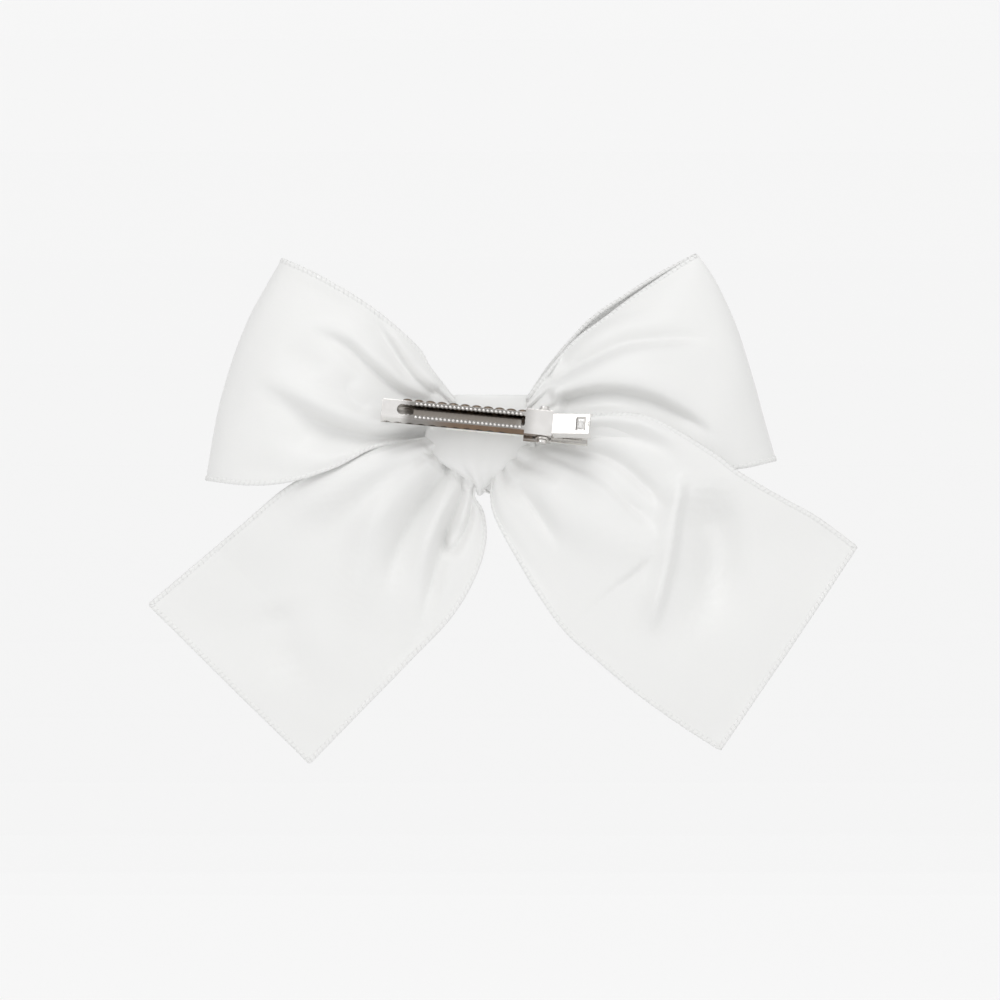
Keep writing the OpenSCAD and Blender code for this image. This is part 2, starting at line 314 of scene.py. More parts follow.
def finish_cloth(piece, thickness):
    wall = piece.modifiers.new("cloth_thickness", "SOLIDIFY")
    wall.thickness = thickness
    wall.offset = 0
    smooth = piece.modifiers.new("smooth", "SUBSURF")
    smooth.levels = smooth.render_levels = 1


def settle(points, flat, hold):
    """Cloth simulation on every third point: the ribbon takes the lengths of its flat cut while hold
    keeps it near its place. The whole grid then moves with those points, by CLOTH_CAP at most. Layers
    don't collide."""
    coarse, weights = points[::COARSE, ::COARSE], hold[::COARSE, ::COARSE]
    rows, cols = weights.shape
    piece = ribbon_piece("settling", coarse, 1, 1)
    mesh = piece.data
    uv = np.zeros((len(mesh.vertices), 2))
    for corner, place in zip(mesh.loops, mesh.uv_layers["UVMap"].data):
        uv[corner.vertex_index] = place.uv
    row, col = np.rint(uv[:, 1] * (rows - 1)).astype(int), np.rint(uv[:, 0] * (cols - 1)).astype(int)
    piece.shape_key_add(name="Basis")
    cut = piece.shape_key_add(name="flat_cut")
    held = piece.vertex_groups.new(name="held")
    for i in range(len(mesh.vertices)):
        cut.data[i].co = (uv[i, 0] * flat[0], 0, uv[i, 1] * flat[1])
        held.add([i], float(weights[row[i], col[i]]), "REPLACE")
    cloth = piece.modifiers.new("cloth", "CLOTH")
    s = cloth.settings
    s.quality = 5
    s.mass = 0.02
    s.tension_stiffness = s.compression_stiffness = 20
    s.shear_stiffness = 8
    s.bending_stiffness = 0.5
    s.air_damping = 6
    s.vertex_group_mass = "held"
    s.pin_stiffness = 4
    s.rest_shape_key = cut
    s.effector_weights.gravity = 0.02
    cloth.collision_settings.use_collision = False
    cloth.point_cache.frame_start, cloth.point_cache.frame_end = 1, CLOTH_FRAMES
    scene = bpy.context.scene
    for frame_number in range(1, CLOTH_FRAMES + 1):
        scene.frame_set(frame_number)
    shape = piece.evaluated_get(bpy.context.evaluated_depsgraph_get())
    settled = np.empty(len(mesh.vertices) * 3)
    shape.data.vertices.foreach_get("co", settled)
    moved = np.zeros_like(coarse)
    moved[row, col] = settled.reshape(-1, 3) - coarse[row, col]
    scene.frame_set(1)
    bpy.data.objects.remove(piece)
    bpy.data.meshes.remove(mesh)
    far = np.linalg.norm(moved, axis=-1, keepdims=True)
    moved *= np.minimum(1, CLOTH_CAP / np.maximum(far, 1e-9))
    fine_row, fine_col = np.arange(points.shape[0]) / COARSE, np.arange(points.shape[1]) / COARSE
    along = np.stack([[np.interp(fine_row, np.arange(rows), moved[:, j, k]) for j in range(cols)]
                      for k in range(3)], -1)
    fine = np.stack([[np.interp(fine_col, np.arange(cols), along[:, i, k]) for i in range(len(fine_row))]
                     for k in range(3)], -1)
    return points + fine


knot_y = (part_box("gathered_centre")[0][1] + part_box("gathered_centre")[1][1]) / 2 / MM


def press_folds(grid, folds, loop, strength):
    """The grid with its folds pressed into it: towards the clip side on the layer that faces it, and
    weaker, away from it, on a loop's decorative layer. The last millimetres at a rim stay as they are."""
    rows, cols = grid.shape[:2]
    x, z = grid[..., 0] / MM, grid[..., 2] / MM
    waves = (0.30 * np.sin(0.17 * x + 0.12 * z + 1.3) + 0.20 * np.sin(0.21 * z - 0.13 * x + 0.4)
             + 0.10 * np.sin(0.37 * z + 0.2 * x + 2.1) + 0.05 * np.sin(0.55 * x - 0.3 * z))
    from_knot = np.hypot(x, z + 3)
    away = 0.3 + 0.7 * np.clip((from_knot - 10) / 8, 0, 1)
    lift = (folds(grid[..., [0, 2]] / MM) * strength + waves) * away
    if loop:
        turn = np.linspace(0, 2 * math.pi, rows)[:, None]
        lift = lift * np.where(turn < math.pi, np.clip((math.pi - turn) / 0.5, 0, 1),
                               -0.6 * np.clip((turn - math.pi) / 0.5, 0, 1))
    rim = np.minimum(np.arange(cols), np.arange(cols)[::-1])[None, :] / 3
    pressed = grid.copy()
    pressed[..., 1] -= lift * np.clip(rim, 0.25, 1) * MM
    return pressed


def loop_points(back_low, back_high, front_low, front_high, outer, far_y, depth, pinch, pleats):
    """Both layers of a loop from its edges in mm: out on the clip side, round the far edge and back. depth
    and LOOP_SPREAD hold the layers apart, and pinch brings them together along the upper edge."""
    inner = np.array([back_low[0], back_high[0]], float)
    edges = [spline(c, EDGE_POINTS) for c in (back_low, back_high, front_low, front_high, outer)]
    angle = np.radians(np.linspace(10, 350, LOOP_ROWS))[:, None] * np.ones(LOOP_COLS)
    v = np.linspace(0, 1, LOOP_COLS)[None, :] * np.ones((LOOP_ROWS, 1))
    r = (1 - np.cos(angle)) / 2
    back = patch(edges[0], edges[1], inner, edges[4], r, v)
    front = patch(edges[2], edges[3], inner, edges[4], r, v)
    is_back = angle < math.pi
    xz = np.where(is_back[..., None], back, front)
    swing = np.sin(angle) * np.sin(angle / 2) / 0.77
    closing = 1 - pinch * v ** 3 * np.clip(r / 0.25, 0, 1)
    y = knot_y + (far_y - knot_y) * r - (depth / 2 * swing + LOOP_SPREAD * np.cos(angle / 2)) * closing
    gather = np.where(is_back, 0.5 * np.exp(-((r / 0.17) ** 1.5)), 3.1 * np.exp(-((r / 0.34) ** 1.3)))
    wave = (np.sin(2 * math.pi * (pleats * v + 0.12 * np.sin(5 * v + 1)))
            + 0.4 * np.sin(2 * math.pi * (1.7 * pleats * v + 0.3)))
    y = y + gather * wave * np.where(is_back, 1, -1)
    return np.stack([xz[..., 0], y, xz[..., 1]], axis=-1) * MM


def left_loop_folds(p):
    return (fold(p, [(-12, 4), (-19, 6), (-26, 11.5), (-32, 17), (-40.5, 20)], 1.4, -2.0, 0.05, 0.35, 0.35)
            + fold(p, [(-12, 6), (-18, 8.5), (-25, 13.5), (-32, 19), (-41, 21.5)], 2.0, 1.0, 0.05, 0.4)
            + fold(p, [(-13, -1.5), (-23, -3.4), (-30, -2.4), (-37, 0), (-44, 4), (-53, 9.6)], 2.4, -3.6,
                   0.03, 0.55, 0.45)
            + fold(p, [(-13, 1.5), (-23, 0), (-30, 1), (-37, 3.4), (-44, 7), (-54, 12.4)], 2.4, 1.9, 0.05,
                   0.5)
            + fold(p, [(-12.5, 5.5), (-17.5, 10), (-22, 17), (-27, 25)], 1.2, -1.3, 0.05, 0.4, 0.4)
            + fold(p, [(-11.5, 6.5), (-15.5, 11), (-20, 17.5), (-25, 23)], 1.4, 0.7, 0.05, 0.4)
            + fold(p, [(-16, -5), (-28, -8), (-40, -8), (-56, -5)], 3.6, 1.3, 0.1, 0.5)
            + fold(p, [(-30, -6), (-40, -4.6), (-48, -6)], 3.4, -1.0, 0.3, 0.5)
            + fold(p, [(-26, 1.5), (-30, 4.4), (-31, 8), (-27, 10)], 1.3, -0.6, 0.2, 0.4)
            + fold(p, [(-36, 9), (-40, 13), (-47, 14)], 3.0, -0.6, 0.3, 0.5))


def right_loop_folds(p):
    return (fold(p, [(12, 8), (21.5, 13), (29, 16.5), (37, 17.6), (45.5, 18), (53, 19)], 1.5, -2.2, 0.05,
                 0.5, 0.4)
            + fold(p, [(12, 6.5), (22, 11), (30, 14.4), (38, 15.4), (46, 15.8)], 2.2, 0.8, 0.05, 0.5)
            + fold(p, [(14, 4), (24, 6), (32.5, 5), (41, 1.3), (51, -5)], 2.0, -2.9, 0.05, 0.35, -0.4)
            + fold(p, [(13, 6), (24, 8.6), (36, 8), (46, 4)], 3.2, 1.2, 0.05, 0.5)
            + fold(p, [(12, 9), (18, 17), (26, 22.5), (38, 27)], 1.6, -0.9, 0.05, 0.6, 0.3)
            + fold(p, [(12.4, 9.4), (16, 16), (22, 21), (34, 27.5)], 2.0, 0.7, 0.05, 0.6)
            + fold(p, [(14, 0.5), (24, 2), (31, 1.5), (36, -0.5)], 1.3, -0.9, 0.1, 0.5)
            + fold(p, [(16, -2), (24, -1.5), (30, -3)], 1.3, 0.7, 0.1, 0.5))


loop_r = np.abs(np.linspace(-1, 1, LOOP_ROWS))[:, None] * np.ones(LOOP_COLS)
loop_v = np.linspace(0, 1, LOOP_COLS)[None, :] * np.ones((LOOP_ROWS, 1))
loop_hold = np.clip(np.exp(-(((1 - loop_r) / 0.14) ** 2))
                    + 0.25 * np.exp(-(np.minimum(loop_v, 1 - loop_v) / 0.05) ** 2)
                    + 0.3 * np.exp(-((loop_r / 0.05) ** 2)) + 0.04, 0, 1)
LOOP_CUT = (RIBBON_W, 0.110)
left_loop_grid = press_folds(settle(loop_points(
    back_low=[(-7.6, -4.4), (-16, -4.6), (-24.8, -5.7), (-33.9, -10.2), (-44.1, -13.3), (-53, -13.9),
              (-62.4, -12.8)],
    back_high=[(-7.6, 4.6), (-13, 11.5), (-15.7, 15.9), (-22.8, 22.4), (-30.2, 27.6), (-38.3, 32.2),
               (-45.7, 35.7)],
    front_low=[(-7.6, -4.4), (-24, -4.5), (-40, -11), (-62.4, -12.8)],
    front_high=[(-7.6, 4.6), (-14, 12), (-23, 20.5), (-34, 28), (-45.7, 35.7)],
    outer=[(-62.4, -12.8), (-59.8, 2), (-56.5, 13.7), (-52.8, 23), (-49.6, 28.9), (-45.7, 35.7)],
    far_y=15, depth=14, pinch=0.35, pleats=4.3), LOOP_CUT, loop_hold), left_loop_folds, True, 1.3)
right_loop_grid = press_folds(settle(loop_points(
    back_low=[(7.6, -4.4), (24, -4), (36, -6.5), (46, -9.5), (53.3, -10.4), (62.6, -8.5)],
    back_high=[(7.6, 4.6), (12.3, 11), (18.3, 17.8), (25, 22.9), (33.2, 29), (45.2, 37)],
    front_low=[(7.6, -4.4), (30, -7), (50, -9), (62.6, -8.5)],
    front_high=[(7.6, 4.6), (12.4, 12), (17.6, 18.3), (22.6, 23.3), (30, 28.3), (37.5, 33), (45.2, 37)],
    outer=[(62.6, -8.5), (60.2, -0.2), (57.4, 10), (53.7, 21.5), (49.1, 31.3), (45.2, 37)],
    far_y=17.6, depth=14, pinch=0.975, pleats=4.7), LOOP_CUT, loop_hold), right_loop_folds, True, 1.3)
for node, grid in (("left_loop", left_loop_grid), ("right_loop", right_loop_grid)):
    piece = ribbon_piece(node + "_satin", grid, *LOOP_CUT)
    piece.data.materials.append(satin)
    finish_cloth(piece, RIBBON_THICK)
    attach(piece, "bow")
    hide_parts(node)

# ---------------------------------------------------------------- tails
# Two tails of the same ribbon, cut on the slant and edged, fall from under the knot. Each is pleated at
# the knot and opens out flat towards its cut end.

TAIL_ROWS, TAIL_COLS = 121, 61


def tail_points(low, high, end, depths, near, pleats, reach):
    """A tail from its edges in mm. depths gives its Y from knot to end; near brings the upper edge
    towards the clip side, and the pleats die out over reach."""
    inner = np.array([low[0], high[0]], float)
    edges = [spline(c, EDGE_POINTS) for c in (low, high, end)]
    r = np.linspace(0, 1, TAIL_ROWS)[:, None] * np.ones(TAIL_COLS)
    v = np.linspace(0, 1, TAIL_COLS)[None, :] * np.ones((TAIL_ROWS, 1))
    xz = patch(edges[0], edges[1], inner, edges[2], r, v)
    y = np.interp(r[:, 0], np.linspace(0, 1, len(depths)), depths)[:, None] * np.ones(TAIL_COLS)
    y = np.apply_along_axis(lambda c: np.convolve(np.pad(c, 8, mode="edge"), np.ones(17) / 17, "valid"), 0, y)
    gather = 0.6 * np.exp(-((r / reach) ** 1.3))
    wave = (np.sin(2 * math.pi * (pleats * v + 0.15 * np.sin(4 * v + 2)))
            + 0.35 * np.sin(2 * math.pi * (1.8 * pleats * v)))
    y = y - near * v * v * np.sin(math.pi * np.clip(r / 0.75, 0, 1)) + gather * wave
    return np.stack([xz[..., 0], y, xz[..., 1]], axis=-1) * MM


def left_tail_folds(p):
    return (fold(p, [(-9, -8), (-14, -15), (-19, -24), (-21.5, -32), (-22.5, -40)], 2.2, -1.8, 0.05, 0.5, 0.3)
            + fold(p, [(-12, -7), (-20, -14), (-25, -22), (-29, -34), (-31, -46)], 4.0, 2.2, 0.05, 0.6)
            + fold(p, [(-5, -12), (-9, -22), (-12, -31), (-16.5, -50)], 1.7, -1.5, 0.05, 0.5, 0.3)
            + fold(p, [(-3.5, -14), (-5, -22), (-8, -28), (-10, -27), (-9.5, -19)], 0.9, -1.1, 0.1, 0.3)
            + fold(p, [(-4.5, -14), (-6, -20), (-7.2, -25)], 1.2, 1.0, 0.1, 0.4)
            + fold(p, [(-7, -12), (-11, -19), (-14, -27), (-17, -38)], 1.8, 1.2, 0.05, 0.5)
            + fold(p, [(-10, -5), (-24, -10), (-38, -17), (-50, -22)], 4.4, 1.5, 0.1, 0.6)
            + fold(p, [(-12, -6), (-22, -12.5), (-33, -21), (-40, -30)], 3.0, -1.1, 0.1, 0.6)
            + fold(p, [(-47, -38), (-45, -50), (-43, -60)], 4.5, -1.0, 0.3, 0.5))


def right_tail_folds(p):
    return (fold(p, [(8, -5), (14, -8), (24, -13), (32, -20), (38, -24)], 1.4, -1.4, 0.05, 0.3, 0.3)
            + fold(p, [(10, -4), (18, -6), (27, -9), (34, -15), (39.5, -21)], 1.4, -1.3, 0.05, 0.3, 0.3)
            + fold(p, [(9, -5), (17, -9), (27, -15), (34, -22)], 1.5, 1.0, 0.05, 0.4)
            + fold(p, [(6, -8), (16, -18), (27, -24), (36, -28), (38, -36)], 6.0, 2.2, 0.1, 0.4)
            + fold(p, [(5, -12), (11, -21), (16, -30)], 1.4, -1.0, 0.1, 0.6, 0.3)
            + fold(p, [(42, -10), (40, -20), (38.5, -30), (36, -40), (34, -48)], 1.9, 1.9, 0.2, 0.3, -0.4)
            + fold(p, [(45, -13), (49, -24), (49, -35), (45, -44), (38, -50)], 4.4, -3.0, 0.25, 0.7)
            + fold(p, [(11, -3), (24, 1.5), (36, -1), (46, -6)], 2.4, 1.2, 0.1, 0.4)
            + fold(p, [(12, -5), (24, -2.5), (35, -4.5), (42, -10)], 1.6, -0.9, 0.1, 0.4))


tail_r = np.linspace(0, 1, TAIL_ROWS)[:, None] * np.ones(TAIL_COLS)
tail_v = np.linspace(0, 1, TAIL_COLS)[None, :] * np.ones((TAIL_ROWS, 1))
tail_hold = np.clip(np.exp(-((tail_r / 0.16) ** 2))
                    + 0.25 * np.exp(-(np.minimum(tail_v, 1 - tail_v) / 0.04) ** 2) + 0.04, 0, 1)
TAIL_CUT = (RIBBON_W, 0.086)
left_tail_grid = press_folds(settle(tail_points(
    low=[(-2.2, -12.5), (-3.7, -16.5), (-1.6, -20), (-1.1, -26.1), (-3.5, -34.1), (-8.7, -42.8),
         (-17.8, -52.4), (-28.7, -63.6), (-39.6, -74.8)],
    high=[(-9.5, -3), (-20, -4.5), (-32, -8), (-44.1, -14.3), (-54, -22.5), (-64.5, -31.3), (-74.8, -40)],
    end=[(-39.6, -74.8), (-57.5, -57.2), (-74.8, -40)],
    depths=[8, 8.6, 9.2, 10, 10.5], near=3.4, pleats=4.4, reach=0.24),
    TAIL_CUT, tail_hold), left_tail_folds, False, 1.75)
right_tail_grid = press_folds(settle(tail_points(
    low=[(0.5, -12), (0, -16.5), (0.9, -20.9), (5.2, -29.1), (10.4, -37.8), (16.3, -45.9), (23.3, -52.2),
         (31.3, -58.9), (40.7, -65.7), (50, -71.7)],
    high=[(8, -2.5), (20, 1), (30, 1.6), (37, -0.2), (48.7, -7.2), (53.5, -10.9), (62.2, -16.1),
          (70.9, -20.9), (79.8, -27.4)],
    end=[(50, -71.7), (65, -49.7), (79.8, -27.4)],
    depths=[7.5, 5, 3.6, 4, 5.5, 7.5], near=0, pleats=4.6, reach=0.20),
    TAIL_CUT, tail_hold), right_tail_folds, False, 1.75)
for node, grid in (("left_tail", left_tail_grid), ("right_tail", right_tail_grid)):
    piece = ribbon_piece(node + "_satin", grid, *TAIL_CUT)
    piece.data.materials.append(satin)
    finish_cloth(piece, RIBBON_THICK)
    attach(piece, "bow")
    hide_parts(node)

# ---------------------------------------------------------------- overlocked edges
# The long edges of the ribbon and the cut ends of the tails are rolled and overlocked: a narrow cord of
# cloth with white thread wound slantwise over it, about one turn in each millimetre.


def thread_look(tree):
    place = make(tree, "ShaderNodeUVMap", {"uv_map": "UVMap"})
    ply_place = make(tree, "ShaderNodeMapping", values={"Vector": place, "Rotation": (0, 0, 0.7),
                                                        "Scale": (3000, 3000, 1)})
    ply = make(tree, "ShaderNodeTexWave", {}, {"Vector": ply_place, "Scale": 0.5, "Distortion": 1.0}, 1)
    fuzz = make(tree, "ShaderNodeTexNoise", {}, {"Vector": ply_place, "Scale": 1.3, "Detail": 3.0})
    tone = mixed(tree, ply * 0.5 + fuzz * 0.5, (0.74, 0.74, 0.73, 1), (0.86, 0.86, 0.85, 1))
    bump = make(tree, "ShaderNodeBump", {}, {"Height": ply * 0.7 + fuzz * 0.3, "Strength": 0.4,
                                             "Distance": 0.00005})
    return {"Base Color": tone, "Roughness": 0.55 + fuzz * 0.15, "Normal": bump}


sewing_thread = material("white_sewing_thread", {"Sheen Weight": 0.25, "Specular IOR Level": 0.35},
                         thread_look)


def unit(a):
    return a / np.maximum(np.linalg.norm(a, axis=-1, keepdims=True), 1e-12)


def swept(name, path, across, up, half_w, half_h, sides):
    """A closed tube along path, an ellipse in the plane of the unit vectors across and up."""
    turn = np.linspace(0, 2 * math.pi, sides + 1)
    turn[-1] = 0
    ring = (path[:, None] + half_w * np.cos(turn)[None, :, None] * across[:, None]
            + half_h * np.sin(turn)[None, :, None] * up[:, None])
    length = float(np.linalg.norm(np.diff(path, axis=0), axis=1).sum())
    return ribbon_piece(name, ring, 2 * math.pi * half_w, length, weld=True)


def edge_run(grid, rim):
    """Points along a rim of the grid every 0.4 mm, with the outward and the upward direction at each."""
    up = unit(np.cross(np.gradient(grid, axis=0), np.gradient(grid, axis=1)))
    out = np.zeros_like(grid)
    out[:, 0] += unit(grid[:, 0] - grid[:, 1])
    out[:, -1] += unit(grid[:, -1] - grid[:, -2])
    if len(rim) == 3:
        out[-1] += unit(grid[-1] - grid[-2])
    picked = [np.concatenate([a[tuple(part)] for part in rim]) for a in (grid, out, up)]
    run = np.concatenate([[0], np.cumsum(np.linalg.norm(np.diff(picked[0], axis=0), axis=1))])
    at = np.linspace(0, run[-1], int(run[-1] / 0.0004))
    place, out, up = (np.column_stack([np.interp(at, run, a[:, k]) for k in range(3)]) for a in picked)
    return place, unit(out), unit(up), at


def overlock(name, grid, rims, node):
    """The rolled edge and its thread along each rim, as one piece."""
    parts = []
    for number, rim in enumerate(rims):
        place, out, up, at = edge_run(grid, rim)
        core = place - out * EDGE_HALF_W * 0.75
        parts.append(swept(f"{name}_{number}", core[::2], out[::2], up[::2], EDGE_HALF_W, EDGE_HALF_H, 8))
        parts[-1].data.materials.append(satin)
        turns = at[-1] / STITCH_PITCH
        fine = np.linspace(0, len(at) - 1, int(turns * 8))
        place, out, up = (np.column_stack([np.interp(fine, np.arange(len(at)), a[:, k]) for k in range(3)])
                          for a in (core, out, up))
        angle = 2 * math.pi * turns * np.linspace(0, 1, len(fine))[:, None]
        spoke = unit(out * np.cos(angle) + up * np.sin(angle) * 1.3)
        helix = place + out * np.cos(angle) * EDGE_HALF_W + up * np.sin(angle) * EDGE_HALF_H
        side = unit(np.cross(np.gradient(helix, axis=0), spoke))
        parts.append(swept(f"{name}_thread_{number}", helix, spoke, side, THREAD_R, THREAD_R, 4))
        parts[-1].data.materials.append(sewing_thread)
    with bpy.context.temp_override(active_object=parts[0], selected_editable_objects=parts):
        bpy.ops.object.join()
    whole = parts[0]
    whole.name = name
    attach(whole, "bow")
    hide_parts(node)
    return whole


EDGE_HALF_W, EDGE_HALF_H = 0.00060, 0.00032
STITCH_PITCH, THREAD_R = 0.00115, 0.00010
every = slice(None)
for node, grid in (("left_loop", left_loop_grid), ("right_loop", right_loop_grid)):
    overlock(node + "_overlock", grid, [[(every, 0)], [(every, -1)]], node + "_edging")
for node, grid in (("left_tail", left_tail_grid), ("right_tail", right_tail_grid)):
    around = [(every, 0), (-1, slice(1, -1)), (slice(None, None, -1), -1)]
    overlock(node + "_overlock", grid, [around], node + "_edging")

# ---------------------------------------------------------------- knot
# A folded band of the same satin wraps the gathered middle of the ribbon. Its ends meet low on the clip
# side, where whip stitches hold them; inside, turns of thread hold the gathers.

BAND_ROWS, BAND_COLS = 97, 37


def soften(c):
    """A closed line of values, each averaged with the four on either side."""
    return np.convolve(np.pad(c[:-1], 5, mode="wrap"), np.ones(9) / 9, "same")[5:-5]


def squarish(c):
    """A cosine or sine that makes the round a little squarer."""
    return np.sign(c) * np.abs(c) ** 0.76


low, high = (np.array(c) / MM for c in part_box("knot_band"))
band_y, band_z = (low[1] + high[1]) / 2, (low[2] + high[2]) / 2
band_half_y, band_half_z = (high[1] - low[1]) / 2 - 1.4, (high[2] - low[2]) / 2 - 1.2
# Round the band from the seam: place, left edge and right edge in mm
BAND_EDGES = [(0, -3.8, -1.6), (0.06, -4.8, -0.2), (0.10, -5.8, 1.4), (0.15, -8.8, 3.4), (0.2, -13.0, 5.8),
              (0.25, -14.8, 8.2), (0.31, -14.0, 9.8), (0.38, -11.6, 10.4), (0.44, -10.8, 10.9),
              (0.5, -10.4, 10.7),
              (0.65, -9.5, 9.5), (0.8, -9.5, 9.5), (0.93, -6, 4.5), (1, -3.8, -1.6)]
round_band = np.linspace(0, 1, BAND_ROWS)
round_band[-1] = 0
across = np.linspace(0, 1, BAND_COLS)
edge_line = np.array(BAND_EDGES)
left_edge, right_edge = (np.append(e, e[0]) for e in (
    soften(np.interp(np.linspace(0, 1, BAND_ROWS), edge_line[:, 0], edge_line[:, k])) for k in (1, 2)))
S, V = np.meshgrid(2 * math.pi * round_band - math.pi / 2, across, indexing="ij")
seam = np.exp(-((np.minimum(round_band, 1 - round_band) / 0.13) ** 2))[:, None]
crown = 3.0 * (1 - np.abs(2 * V - 1) ** 2.2)
ridges = (0.42 * np.sin(2 * math.pi * (2.6 * V + 0.12 * np.sin(2 * S) + 0.1))
          + 0.22 * np.sin(2 * math.pi * (4.7 * V + 0.2 * np.cos(S)))) * (0.55 + 0.9 * seam)
flat_top = np.clip(np.sin(S), 0, 1) ** 4
out = (crown + ridges * (4 * V * (1 - V)) - 2.6) * (1 - flat_top) + 0.3 * flat_top
band = np.stack([
    left_edge[:, None] * (1 - V) + right_edge[:, None] * V,
    band_y - (band_half_y + out) * squarish(np.cos(S)),
    band_z + (band_half_z + out) * squarish(np.sin(S))], axis=-1) * MM
band[-1] = band[0]
mesh_band = ribbon_piece("knot_band_satin", band, 0.021, 0.070)
bm = bmesh.new()
bm.from_mesh(mesh_band.data)
bmesh.ops.remove_doubles(bm, verts=bm.verts, dist=1e-7)
bmesh.ops.recalc_face_normals(bm, faces=bm.faces)
bm.to_mesh(mesh_band.data)
bm.free()
mesh_band.data.materials.append(satin)
finish_cloth(mesh_band, 0.0006)
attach(mesh_band, "bow")
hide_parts("knot_band")

# The pinched middle of the ribbon: a bundle of pleats, narrow under the thread and wider at both mouths
low, high = (np.array(c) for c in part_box("gathered_centre"))
bundle_mid = (low + high) / 2
x_half, waist, mouth = (high[0] - low[0]) / 2, 0.0052, (high[2] - low[2]) / 2
U, A = np.meshgrid(np.linspace(-1, 1, 33), np.linspace(0, 2 * math.pi, 97), indexing="ij")
A[:, -1] = 0
radius = ((waist + (mouth - waist) * np.abs(U) ** 1.5)
          * (0.93 + 0.07 * np.cos(11 * A + 0.8 * np.sin(2 * A) + 0.5 * U)))
bundle = np.stack([bundle_mid[0] + x_half * U, bundle_mid[1] + radius * np.cos(A),
                   bundle_mid[2] + radius * np.sin(A)], -1)
gathers = ribbon_piece("gathered_middle", bundle, 0.05, 0.019, weld=True)
gathers.data.materials.append(satin)
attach(gathers, "bow")
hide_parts("gathered_centre")
frame["nodes"]["binding_thread"].material_slots[0].material = sewing_thread

# Whip stitches over the seam under the knot
low, high = (np.array(c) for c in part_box("knot_stitches"))
whips = []
for number in range(6):
    mid = np.array([low[0] * 0.6 + high[0] * 0.4, low[1] + 0.0004 + 0.0019 * number, high[2] + 0.0009])
    swing = np.linspace(-0.2, math.pi + 0.2, 15)[:, None]
    path = mid + np.hstack([0.0014 * np.cos(swing) + 0.0003 * number * 0.4, 0.0007 * np.cos(swing),
                            -0.0007 * np.sin(swing)])
    along = unit(np.gradient(path, axis=0))
    aside = unit(np.cross(along, [0, 1, 0]))
    whips.append(swept(f"whip_{number}", path, aside, np.cross(along, aside), 0.00017, 0.00017, 8))
with bpy.context.temp_override(active_object=whips[0], selected_editable_objects=whips):
    bpy.ops.object.join()
whips[0].name = "whip_stitches"
whips[0].data.materials.append(sewing_thread)
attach(whips[0], "bow")
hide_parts("knot_stitches")

# ---------------------------------------------------------------- clip
# An alligator clip of stamped, nickel-plated steel: a base arm glued to the knot, a slotted lever arm,
# a headed hinge pin and a leaf spring between the handles. The base arm's plating is given warmer, darker and
# duller tones than the lever's; the jaw's darker length, the brown lower walls and the dark teeth are painted
# reflection of the dark surroundings.

record = frame["record"]
hinge = next(j for j in record["behaviour"]["joints"] if j["name"] == "lever_hinge")
pin_at = Vector(hinge["pos_m"])
to_tip = Vector(next(m for m in record["mounts"] if m["name"] == "hair_grip")["axis"])
across_clip = Vector(hinge["axis"]).normalized()
outward = to_tip.cross(across_clip).normalized()
if outward.y > 0:
    outward = -outward


def eased(tree, value, start, end):
    """0 where value is at start and 1 where it is at end, with a smooth step between."""
    return make(tree, "ShaderNodeMapRange", {"interpolation_type": "SMOOTHSTEP"},
                {"Value": value, "From Min": start, "From Max": end})


def nickel_look(dark, light, rough, ribbed_painted_reflection=None, wall=None):
    """Nickel brushed along the clip; painted reflection darkens a jaw's beaded length and the lower walls
    when those tones are given.
    """
    def look(tree):
        place = make(tree, "ShaderNodeTexCoord", out=3)
        from_pin = make(tree, "ShaderNodeVectorMath", {"operation": "SUBTRACT"}, {0: place, 1: tuple(pin_at)})
        reach = make(tree, "ShaderNodeVectorMath", {"operation": "DOT_PRODUCT"},
                     {0: from_pin, 1: tuple(to_tip)}, 1)
        grain_place = make(tree, "ShaderNodeMapping", values={"Vector": place, "Rotation": (0, 0.094, 0),
                                                            "Scale": (300, 2600, 2600)})
        grain = make(tree, "ShaderNodeTexNoise", {}, {"Vector": grain_place, "Scale": 1.0, "Detail": 3.0})
        cloud = make(tree, "ShaderNodeTexNoise", {}, {"Vector": place, "Scale": 420.0, "Detail": 2.0})
        tone = mixed(tree, cloud * 0.7 + grain * 0.3, dark, light)
        # Painted reflection: a darker tone from a few millimetres beyond the pin to about 30 mm along the
        # jaw, standing in for the dark surroundings the nickel reflects.
        if ribbed_painted_reflection:
            begins = eased(tree, reach, 0.001, 0.0065)
            ends = eased(tree, reach, 0.0285, 0.0312)
            tone = mixed(tree, begins * (1 - ends), tone, ribbed_painted_reflection)
        # Painted reflection: walls facing down, from the pin to about 20 mm along the jaw, take a brown tone
        # broken up by noise, standing in for the darker surroundings they reflect.
        if wall:
            faces = make(tree, "ShaderNodeNewGeometry", out=1)
            below = make(tree, "ShaderNodeVectorMath", {"operation": "DOT_PRODUCT"},
                         {0: faces, 1: tuple(-across_clip)}, 1)
            down_facing_painted_reflection = make(tree, "ShaderNodeMapRange", {}, {"Value": below, "From Min": 0.35,
                                                            "From Max": 0.8})
            waves = make(tree, "ShaderNodeTexNoise", {}, {"Vector": place, "Scale": 130.0, "Detail": 1.0})
            along = eased(tree, reach, 0.027, 0.018)
            behind = eased(tree, reach, -0.001, 0.003)
            tone = mixed(tree, down_facing_painted_reflection * along * behind * (0.7 + waves * 0.5), tone, wall)
        edge = make(tree, "ShaderNodeBevel", {"samples": 6}, {"Radius": 0.00015})
        bump = make(tree, "ShaderNodeBump", {}, {"Height": grain * 0.5 + cloud * 0.5, "Strength": 0.25,
                                                 "Distance": 0.00004, "Normal": edge})
        return {"Base Color": tone, "Roughness": rough + cloud * 0.10 + grain * 0.05, "Normal": bump}
    return look
